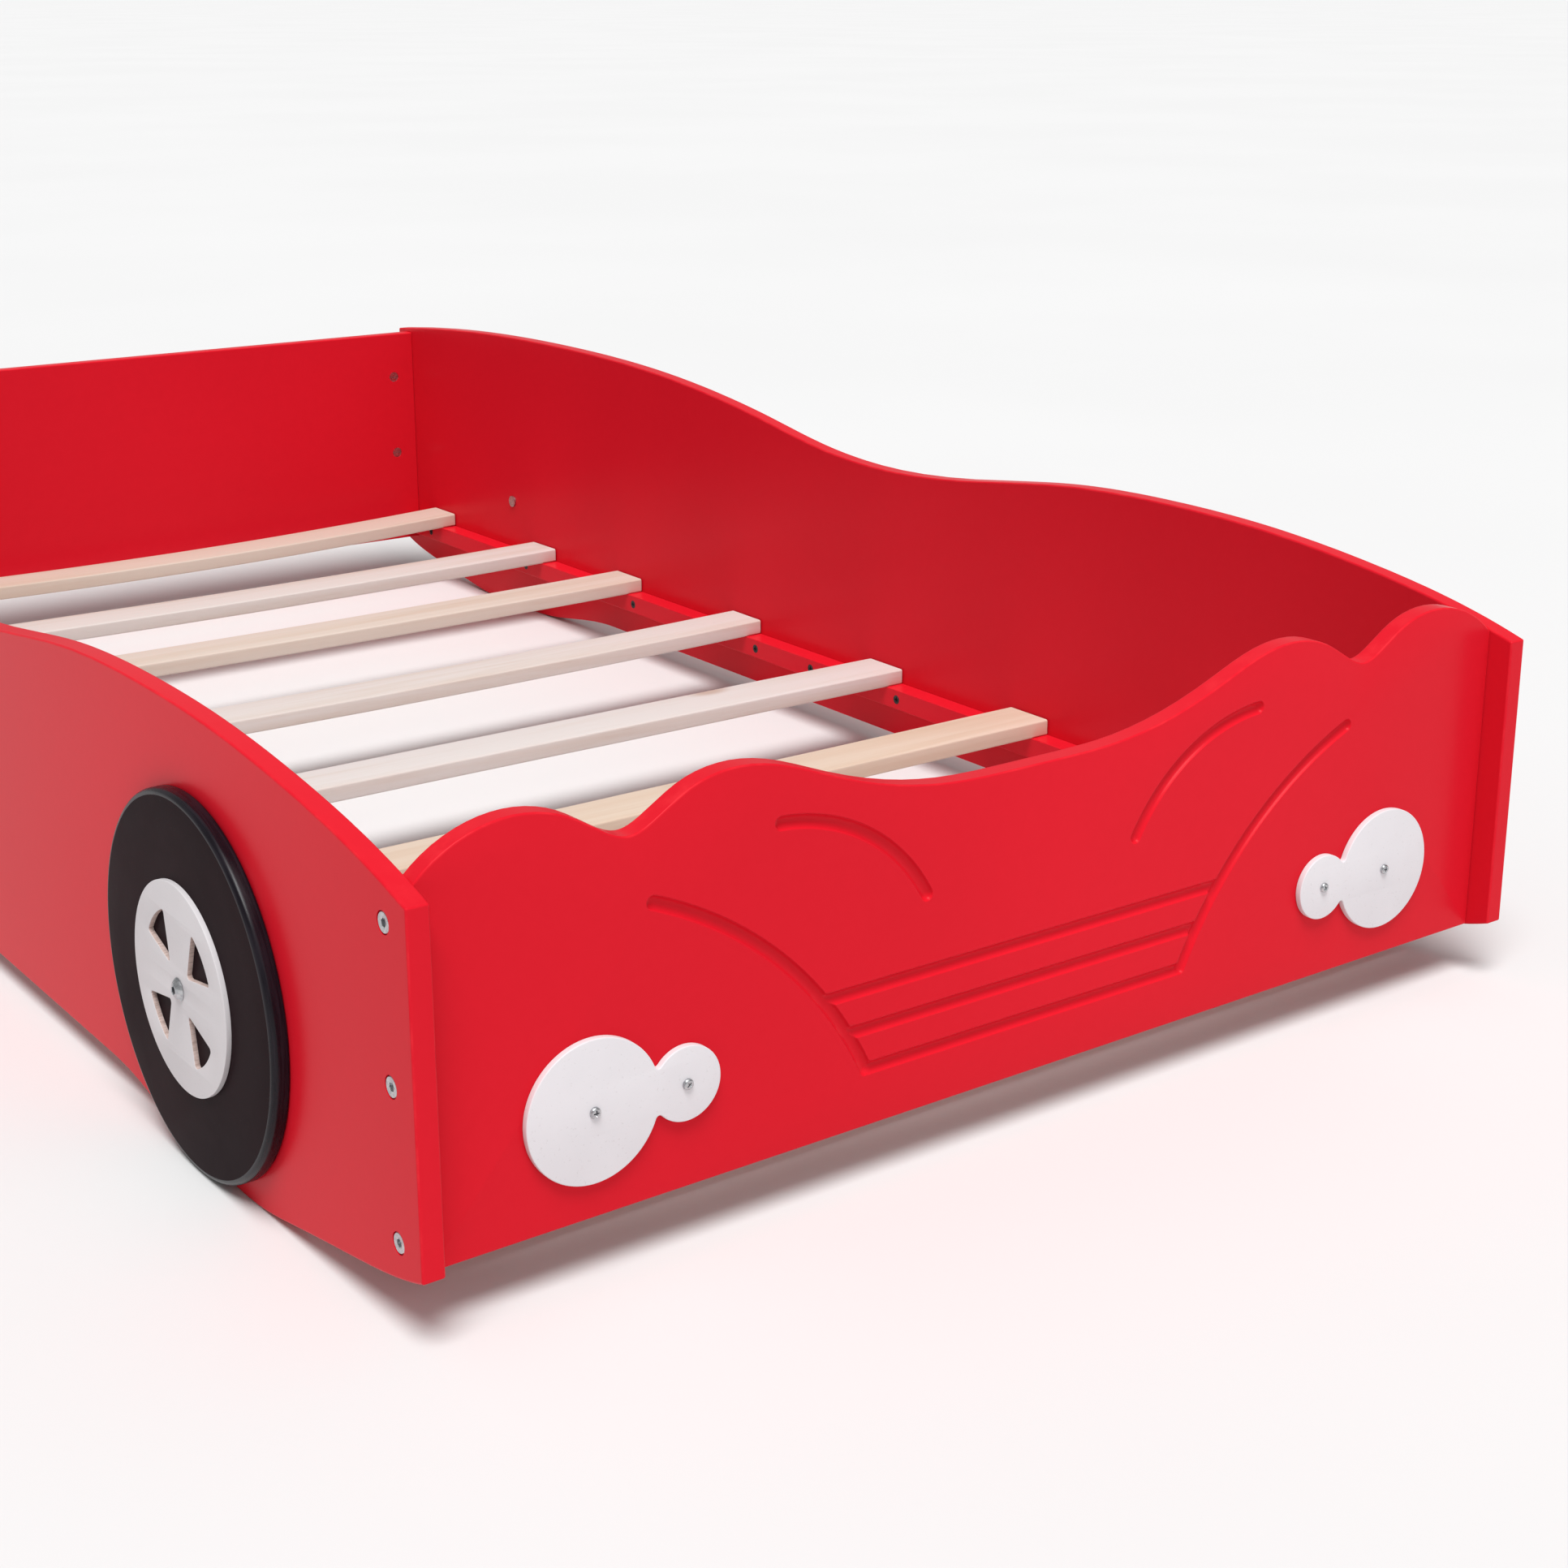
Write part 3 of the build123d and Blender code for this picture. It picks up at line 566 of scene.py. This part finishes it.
def groove_depths(points, grooves):
    """How deep the face is at each point: the deepest groove wins."""
    spots = np.array(points)
    deepest = np.zeros(len(spots))
    for path, depth, _ in grooves:
        start = np.array(path[:-1])
        step = np.array(path[1:]) - start
        share = np.einsum("nsk,sk->ns", spots[:, None] - start, step) / (step ** 2).sum(1)
        nearest = start + np.clip(share, 0, 1)[..., None] * step
        distance = np.sqrt(((spots[:, None] - nearest) ** 2).sum(2)).min(1)
        bottom = np.sqrt(np.maximum(GROOVE_R ** 2 - distance ** 2, 0)) - (GROOVE_R - depth)
        deepest = np.maximum(deepest, bottom)
    return deepest


def fill_face(outer, loops, spots):
    """Triangles inside an outer loop that keep other loops as edges and pass through extra spots."""
    points = list(outer)
    edges = []
    for loop in loops:
        first = len(points)
        points += loop
        edges += [(first + i, first + (i + 1) % len(loop)) for i in range(len(loop))]
    points += spots
    filled = delaunay_2d_cdt([Vector(p) for p in points], edges, [list(range(len(outer)))], 1, WELD_GAP)
    return [tuple(p) for p in filled[0]], filled[2]


def add_rim(bm, outline, low, high):
    """The rounded edges and the side wall of a panel, with sharp shading where they meet its flats."""
    thickness = high.y - low.y
    angles = [math.radians(90 * i / ARRIS_STEPS) for i in range(ARRIS_STEPS + 1)]
    rounding = [(PANEL_ARRIS * (1 - math.sin(a)), PANEL_ARRIS * (1 - math.cos(a))) for a in angles]
    profile = rounding + [(inset, thickness - depth) for inset, depth in reversed(rounding)]
    rings = []
    for inset, depth in profile:
        rings.append([bm.verts.new((x, low.y + depth, z)) for x, z in inset_loop(outline, inset)])
    bridge(bm, rings)
    flat_to_round = (0, ARRIS_STEPS, ARRIS_STEPS + 1, len(profile) - 1)
    for number in flat_to_round:
        ring = rings[number]
        for first, second in zip(ring, ring[1:] + ring[:1]):
            bm.edges.get((first, second)).smooth = False


def add_routed_face(bm, face, y):
    """The front of the foot panel. Its grooves are sunk in it and have the second material."""
    grooves = groove_paths()
    loops = []
    spots = []
    for _, depth, path in grooves:
        half = groove_half_width(depth)
        radii = [half * math.sin(math.pi / 2 * k / (GROOVE_RINGS - 1)) for k in range(1, GROOVE_RINGS)]
        spots += path
        for radius in radii[:-1]:
            spots += ring_about(path, radius)
        loops += [ring_about(path, half), ring_about(path, half + GROOVE_LIP)]
    points, triangles = fill_face(face, loops, spots)
    depths = groove_depths(points, grooves)
    verts = [bm.verts.new((x, y + depth, z)) for (x, z), depth in zip(points, depths)]
    for triangle in triangles:
        made = bm.faces.new([verts[i] for i in triangle])
        made.material_index = int(max(depths[i] for i in triangle) > 0)


def foot_panel_mesh(name, low, high, outline):
    """Foot panel with rounded edges, round-bottomed grooves in front and nut bores behind."""
    bm = bmesh.new()
    face = inset_loop(outline, PANEL_ARRIS)
    add_rim(bm, outline, low, high)
    add_routed_face(bm, face, low.y)
    add_back_face(bm, face, high)
    bmesh.ops.remove_doubles(bm, verts=bm.verts, dist=2 * WELD_GAP)
    mesh = mesh_from(bm, name)
    mesh.shade_smooth()
    return mesh


def add_back_face(bm, face, high):
    """The flat back of the foot panel with the bores that hold the cross dowels."""
    places = [(side * (high.x - BARREL_INSET), z) for side in SIDES.values() for z in CORNER_BOLT_HEIGHTS]
    holes = [arc(place, BARREL_R, 0, 360, HEAD_SEGMENTS)[:-1] for place in places]
    points, triangles = fill_face(face, holes, [])
    verts = [bm.verts.new((x, high.y, z)) for x, z in points]
    for triangle in triangles:
        middle = sum((Vector(points[i]) for i in triangle), Vector((0, 0))) / 3
        if all((middle - Vector(place)).length > BARREL_R for place in places):
            bm.faces.new([verts[i] for i in triangle])
    for hole in holes:
        mouth = [bm.verts.new((x, high.y, z)) for x, z in hole]
        bottom = [bm.verts.new((x, high.y - BARREL_DEPTH, z)) for x, z in hole]
        bridge(bm, [mouth, bottom])
        for first, second in zip(mouth, mouth[1:] + mouth[:1]):
            bm.edges.get((first, second)).smooth = False
        bm.faces.new(bottom)


def make_foot_panel(paint, groove_paint):
    """The foot panel in place of its CAD node."""
    low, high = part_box("front_panel")
    outline = rim_loop(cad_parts["front_panel"], low.y + PANEL_ARRIS)
    mesh = foot_panel_mesh("front_panel_routed", low, high, outline)
    piece(mesh, (0, 0, 0), "bed_frame", [paint, groove_paint], "front_panel")


# --- bolts and screws ---------------------------------------------------------------------------------
def outline_radius(shape, size, angle):
    """Distance to the outline of a round, hexagonal or cross-shaped ring at an angle."""
    if shape == "hex":
        return size / math.cos((angle + math.pi / 6) % (math.pi / 3) - math.pi / 6)
    if shape == "cross":
        return size * (CROSS_WAIST + (1 - CROSS_WAIST) * abs(math.cos(2 * angle)) ** 3)
    return size


def add_head(bm, rings, matrix):
    """A bolt head from (shape, size, height) rings, from the rim to the bottom of its recess."""
    made = []
    for shape, size, height in rings:
        ring = []
        for i in range(HEAD_SEGMENTS):
            angle = 2 * math.pi * i / HEAD_SEGMENTS
            radius = outline_radius(shape, size, angle)
            spot = Vector((radius * math.cos(angle), radius * math.sin(angle), height))
            ring.append(bm.verts.new(matrix @ spot))
        made.append(ring)
    bridge(bm, made)
    bm.faces.new(made[0])
    bm.faces.new(made[-1])


def heads_mesh(name, rings, places):
    """One mesh of equal heads, each with its own (place, direction)."""
    bm = bmesh.new()
    for number, (place, direction) in enumerate(places):
        turn = Matrix.Rotation(HEAD_TURN * number, 4, "Z")
        upright = Vector(direction).to_track_quat("Z", "Y").to_matrix().to_4x4()
        add_head(bm, rings, Matrix.Translation(place) @ upright @ turn)
    return mesh_from(bm, name)


def corner_head_rings():
    """Flat head with a chamfered rim and a hexagonal socket. Zero is the bottom of the head."""
    rings = [("round", CORNER_HEAD_R, 0), ("round", CORNER_HEAD_R, CORNER_HEAD - CORNER_CHAMFER)]
    rings += [("round", CORNER_HEAD_R - CORNER_CHAMFER, CORNER_HEAD)]
    rings += [("round", CORNER_FLAT_R, CORNER_HEAD), ("hex", SOCKET_R, CORNER_HEAD - SOCKET_MOUTH)]
    return rings + [("hex", SOCKET_R, CORNER_HEAD - SOCKET_DEPTH)]


def wheel_head_rings():
    """Domed head with a hexagonal socket. Zero is the bottom of the head."""
    dome_r = (WHEEL_HEAD_R ** 2 + WHEEL_HEAD ** 2) / (2 * WHEEL_HEAD)
    rings = []
    for i in range(WHEEL_HEAD_STEPS + 1):
        radius = WHEEL_HEAD_R - (WHEEL_HEAD_R - WHEEL_DOME_INNER_R) * i / WHEEL_HEAD_STEPS
        rings.append(("round", radius, WHEEL_HEAD - dome_r + math.sqrt(dome_r ** 2 - radius ** 2)))
    rim = rings[-1][2]
    return rings + [("hex", SOCKET_R, rim - WHEEL_MOUTH), ("hex", SOCKET_R, rim - SOCKET_DEPTH)]


def pan_head_rings():
    """Pan head with a cross recess. Zero is the seat of the head."""
    rings = [("round", PAN_HEAD_R, 0)]
    for i in range(PAN_STEPS + 1):
        angle = math.pi / 2 * i / PAN_STEPS
        radius = PAN_HEAD_R - PAN_ROUND * (1 - math.cos(angle))
        rings.append(("round", radius, PAN_HEAD - PAN_RISE * (1 - math.sin(angle))))
    rings += [("cross", CROSS_R, PAN_HEAD), ("cross", CROSS_TAPER * CROSS_R, PAN_HEAD - CROSS_DEPTH)]
    return rings


def corner_bolt_places():
    """Bottoms of the corner bolts' heads, in the side panels' counterbores."""
    places = []
    for side, sign in SIDES.items():
        seat = facing_x(*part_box(f"{side}_side_panel"), sign) - sign * CORNER_SINK
        for node in ("front_panel", "headboard_panel"):
            low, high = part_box(node)
            places += [((seat, (low.y + high.y) / 2, z), (sign, 0, 0)) for z in CORNER_BOLT_HEIGHTS]
    return places


def wheel_bolt_places():
    """Bottoms of the wheel bolts' heads, just off the hubs."""
    places = []
    for side, sign in SIDES.items():
        for end in ENDS:
            low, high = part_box(f"{end}_{side}_hub")
            middle = (low + high) / 2
            places.append(((facing_x(low, high, sign) + sign * HEAD_GAP, middle.y, middle.z), (sign, 0, 0)))
    return places


def headlight_screw_places():
    """Seats of the screws in the middles of the headlights' circles."""
    places = []
    for side, sign in SIDES.items():
        low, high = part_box(f"{side}_headlight")
        big_x = facing_x(low, high, sign) - sign * LIGHT_BIG_R
        for x in (big_x, big_x - sign * LIGHT_SPACING):
            places.append(((x, low.y, (low.z + high.z) / 2), (0, -1, 0)))
    return places


def make_heads(metal):
    """Heads of the corner bolts, wheel bolts and headlight screws."""
    for node, rings, places in (("corner_bolts", corner_head_rings(), corner_bolt_places()),
                                ("wheel_bolts", wheel_head_rings(), wheel_bolt_places()),
                                ("headlight_screws", pan_head_rings(), headlight_screw_places())):
        mesh = heads_mesh(f"{node}_heads", rings, places)
        made = piece(mesh, (0, 0, 0), "bed_frame", [metal], node)
        smooth(made.data, 30)


# --- slats --------------------------------------------------------------------------------------------
def slat_profile(width, thickness, radius):
    """Rounded rectangle in (y, z), centred."""
    points = []
    for turn, (sy, sz) in enumerate(((1, 1), (-1, 1), (-1, -1), (1, -1))):
        centre = (sy * (width / 2 - radius), sz * (thickness / 2 - radius))
        points += arc(centre, radius, 90 * turn, 90 * turn + 90, SLAT_EDGE_STEPS)
    return points


def end_pull(gap):
    """How far a slat's faces draw in near its rounded end, at a distance from the end."""
    share = 1 - min(gap / SLAT_END_R, 1.0)
    return SLAT_END_R * (1 - math.sqrt(max(0.0, 1 - share ** 2)))


def slat_mesh(number, low, high):
    """A slat that sags towards its middle, slightly uneven as planed wood is."""
    chance = random.Random(SLAT_SEED + number)
    half = (high.x - low.x) / 2
    width = high.y - low.y - SLAT_PLANED_OFF
    sag = high.z - low.z - SLAT_THICKNESS
    twist = math.radians(chance.uniform(-SLAT_TWIST, SLAT_TWIST))
    phases = [chance.uniform(0, 2 * math.pi) for _ in SLAT_WAVES]
    bm = bmesh.new()
    rings = []
    for i in range(SLAT_STATIONS + 1):
        t = math.sin(math.pi / 2 * (2 * i / SLAT_STATIONS - 1))
        drop = sag * (1 - t * t)
        turn = twist * t
        waves = [share * math.sin(rate * t + phase) for (rate, share), phase in zip(SLAT_WAVES, phases)]
        wobble = SLAT_WOBBLE * sum(waves)
        pull = end_pull(half - abs(half * t))
        ring = []
        for y, z in slat_profile(width - 2 * pull, SLAT_THICKNESS - 2 * pull, SLAT_EDGE_R):
            across = y * math.cos(turn) - z * math.sin(turn)
            up = y * math.sin(turn) + z * math.cos(turn)
            ring.append(bm.verts.new((half * t, across + wobble, up - drop)))
        rings.append(ring)
    bridge(bm, rings)
    bm.faces.new(rings[0])
    bm.faces.new(list(reversed(rings[-1])))
    mesh = mesh_from(bm, f"slat_{number}_wood")
    smooth(mesh, 40)
    place = Vector(((low.x + high.x) / 2, (low.y + high.y) / 2, high.z - SLAT_THICKNESS / 2))
    return mesh, place


def make_slats():
    """All slats, each with its own piece of wood and its own painted shade."""
    for number, (tone, shade) in enumerate(zip(SLAT_TONES, SLAT_PAINTED_SHADES), 1):
        node = f"slat_{number}"
        low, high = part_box(node)
        mesh, place = slat_mesh(number, low, high)
        wood = slat_wood(number, tone, shade)
        piece(mesh, place, "bed_frame", [wood], node)


# --- wheels -------------------------------------------------------------------------------------------
def tyre_mesh(name, radius, thickness):
    """Disc with a rounded outer edge, back face at z = 0."""
    front = arc((radius - TYRE_EDGE_R, thickness - TYRE_EDGE_R), TYRE_EDGE_R, 0, 90, TYRE_EDGE_STEPS)
    back = arc((radius - TYRE_BACK_R, TYRE_BACK_R), TYRE_BACK_R, -90, 0, TYRE_BACK_STEPS)
    inner = [(r, thickness) for r in TYRE_FACE_RINGS]
    back_inner = [(r, 0.0) for r in (TYRE_BORE_R, TYRE_BACK_RING)]
    mesh = lathe(name, back + front + inner + back_inner, WHEEL_SEGMENTS)
    for face in mesh.polygons:
        if face.center.xy.length > radius - TYRE_EDGE_R:
            face.material_index = 1
    smooth(mesh, 50)
    return mesh


def window_loop(turn):
    """One hub window: straight sides from near the middle, an arc outside, all corners rounded."""
    spread = math.radians(WINDOW_HALF_ANGLE)
    r = WINDOW_CORNER_R
    outer_r = WINDOW_ARC_R
    apex = WINDOW_APEX_R
    corner = Vector((outer_r * math.cos(spread), outer_r * math.sin(spread)))
    side = (corner - Vector((apex, 0))).normalized()
    slope = math.degrees(math.atan2(side.y, side.x))
    tip = (apex + r / math.sin(math.radians(slope)), 0.0)
    inward = Vector((side.y, -side.x))
    offset_line = Vector((apex, 0)) + inward * r
    along = -offset_line.dot(side) + math.sqrt(offset_line.dot(side) ** 2 - offset_line.length_squared
                                               + (outer_r - r) ** 2)
    upper = offset_line + side * along
    bearing = math.degrees(math.atan2(upper.y, upper.x))
    points = arc(tip, r, 270 - slope, 90 + slope, WINDOW_CORNER_STEPS)
    points += arc(upper, r, 90 + slope, bearing, WINDOW_CORNER_STEPS)
    points += arc((0, 0), outer_r, bearing, -bearing, WINDOW_ARC_STEPS)[1:-1]
    points += arc((upper.x, -upper.y), r, -bearing, -90 - slope, WINDOW_CORNER_STEPS)
    angle = math.radians(turn)
    return [(x * math.cos(angle) - y * math.sin(angle), x * math.sin(angle) + y * math.cos(angle))
            for x, y in points]


def hub_mesh(name, radius, thickness, turn):
    """Thin disc with four windows and the bolt's bore. Window walls get the second material."""
    loops = [arc((0, 0), radius, 0, 360, WHEEL_SEGMENTS)[:-1]]
    for i in range(WINDOW_COUNT):
        loops.append(window_loop(turn + FIRST_WINDOW + i * 360 / WINDOW_COUNT))
    loops.append(arc((0, 0), TYRE_BORE_R, 0, 360, 32)[:-1])
    mesh = plate(name, loops, thickness, HUB_BEVEL)
    mesh.transform(Matrix.Translation((0, 0, thickness / 2)))
    for face in mesh.polygons:
        inside = face.center.xy.length < radius - HUB_RIM
        if inside and abs(face.normal.z) < 0.5:
            face.material_index = 1
    smooth(mesh, 40)
    return mesh


def make_wheels():
    """Tyre and hub of each wheel, built about its own axle."""
    blacks = [tyre_paint(), tyre_wall_paint()]
    white = board_face("hub_face", rgb(0.67, 0.64, 0.655), rgb(0.63, 0.60, 0.615))
    edge = raw_board_edge()
    for end in ENDS:
        for side, sign in SIDES.items():
            body = f"{end}_{side}_wheel"
            low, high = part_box(f"{end}_{side}_tyre")
            axle = (low + high) / 2
            radius = (high.z - low.z) / 2
            face_x = facing_x(low, high, -sign)
            turn = Matrix(((0, 0, sign, 0), (1, 0, 0, 0), (0, 1, 0, 0), (0, 0, 0, 1)))
            tyre = tyre_mesh(f"{end}_{side}_tyre_disc", radius, high.x - low.x)
            tyre.transform(turn)
            piece(tyre, (face_x, axle.y, axle.z), body, blacks, f"{end}_{side}_tyre")
            hub_low, hub_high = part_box(f"{end}_{side}_hub")
            hub_x = facing_x(hub_low, hub_high, -sign)
            hub = hub_mesh(f"{end}_{side}_hub_disc", (hub_high.z - hub_low.z) / 2, hub_high.x - hub_low.x,
                           HUB_TURNS[(end, side)])
            hub.transform(turn)
            piece(hub, (hub_x, axle.y, axle.z), body, [white, edge], f"{end}_{side}_hub")


# --- headlights ---------------------------------------------------------------------------------------
def headlight_loop(sign):
    """Outline of a large and a small disc in one, with small fillets in the two notches."""
    big, small, gap, r = LIGHT_BIG_R, LIGHT_SMALL_R, LIGHT_SPACING, LIGHT_NOTCH_R
    a, b = big + r, small + r
    notch_x = (gap * gap + a * a - b * b) / (2 * gap)
    notch_y = math.sqrt(a * a - notch_x * notch_x)
    at_big = math.degrees(math.atan2(notch_y, notch_x))
    at_small = math.degrees(math.atan2(notch_y, notch_x - gap))
    points = arc((0, 0), big, at_big, 360 - at_big, 90)
    points += arc((notch_x, -notch_y), r, 180 - at_big, 180 - at_small, 5)[1:-1]
    points += arc((gap, 0), small, -at_small, at_small, 60)
    points += arc((notch_x, notch_y), r, 180 + at_small, 180 + at_big, 5)[1:-1]
    return [(-sign * x, y) for x, y in points]


def make_headlights():
    """Both headlight plates."""
    white = board_face("headlight_face", rgb(0.74, 0.715, 0.74), rgb(0.70, 0.675, 0.70))
    for side, sign in SIDES.items():
        node = f"{side}_headlight"
        low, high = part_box(node)
        mesh = plate(f"{node}_plate", [headlight_loop(sign)], high.y - low.y, LIGHT_BEVEL)
        upright = Matrix(((1, 0, 0, 0), (0, 0, -1, 0), (0, 1, 0, 0), (0, 0, 0, 1)))
        mesh.transform(upright)
        smooth(mesh, 40)
        big_x = facing_x(low, high, sign) - sign * LIGHT_BIG_R
        middle = (low + high) / 2
        piece(mesh, (big_x, middle.y, middle.z), "bed_frame", [white], node)


# --- carried-over CAD nodes ---------------------------------------------------------------------------
def dress(material, *names):
    """Give CAD nodes a better material."""
    for name in names:
        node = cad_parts[name]
        node.data.materials.clear()
        node.data.materials.append(material)


# --- studio -------------------------------------------------------------------------------------------
def make_floor():
    """A pale floor under the bed."""
    bm = bmesh.new()
    bmesh.ops.create_grid(bm, x_segments=8, y_segments=8, size=FLOOR_SIZE / 2)
    mesh = bpy.data.meshes.new("floor")
    bm.to_mesh(mesh)
    bm.free()
    floor = bpy.data.objects.new("floor", mesh)
    bpy.context.scene.collection.objects.link(floor)
    mesh.materials.append(floor_paint())


def sun(name, strength, spread, towards):
    """Soft light from far away, shining along a direction."""
    data = bpy.data.lights.new(name, "SUN")
    data.energy = strength
    data.angle = math.radians(spread)
    lamp = bpy.data.objects.new(name, data)
    bpy.context.scene.collection.objects.link(lamp)
    lamp.rotation_euler = Vector(towards).to_track_quat("-Z", "Y").to_euler()


def make_light():
    """Even studio light: a bright surround, a soft key above and a fill at the foot end."""
    world = bpy.data.worlds.new("studio")
    bpy.context.scene.world = world
    world.use_nodes = True
    tree = world.node_tree
    background = tree.nodes["Background"]
    background.inputs["Color"].default_value = rgb(1.0, 1.0, 1.0)
    seen = tree.nodes.new("ShaderNodeLightPath").outputs["Is Camera Ray"]
    strength = tree.nodes.new("ShaderNodeMapRange")
    strength.inputs["To Min"].default_value = WORLD_LIGHT
    strength.inputs["To Max"].default_value = BACKDROP
    tree.links.new(seen, strength.inputs["Value"])
    tree.links.new(strength.outputs[0], background.inputs["Strength"])
    sun("key", KEY_LIGHT, KEY_SPREAD, KEY_DIRECTION)
    sun("fill", FILL_LIGHT, FILL_SPREAD, FILL_DIRECTION)
    bpy.context.scene.view_settings.view_transform = "Standard"


def make_camera():
    """Camera in front of the bed's left foot corner."""
    data = bpy.data.cameras.new("camera")
    data.sensor_width = 36.0
    data.lens = CAMERA_LENS
    data.shift_y = CAMERA_SHIFT_Y
    data.clip_end = 200
    camera = bpy.data.objects.new("camera", data)
    bpy.context.scene.collection.objects.link(camera)
    camera.location = CAMERA_PLACE
    camera.rotation_euler = (math.radians(90 - CAMERA_PITCH), 0, math.radians(-CAMERA_YAW))
    bpy.context.scene.camera = camera


def main():
    """Build the scene."""
    # 0.30 sets the arris wear and painted highlight on the panels; the grooves get none
    paint = red_paint("red_paint_satin", 0.30)
    groove_paint = red_paint("red_paint_groove", 0.0)
    metal = zinc()
    dress(paint, "left_side_panel", "right_side_panel", "headboard_panel")
    dress(paint, "left_slat_rail", "right_slat_rail")
    dress(metal, "barrel_nuts", "wheel_sleeve_nuts")
    dress(dark_screw(), "rail_screws", "slat_screws")
    make_foot_panel(paint, groove_paint)
    make_heads(metal)
    make_slats()
    make_wheels()
    make_headlights()
    make_floor()
    make_light()
    make_camera()


main()
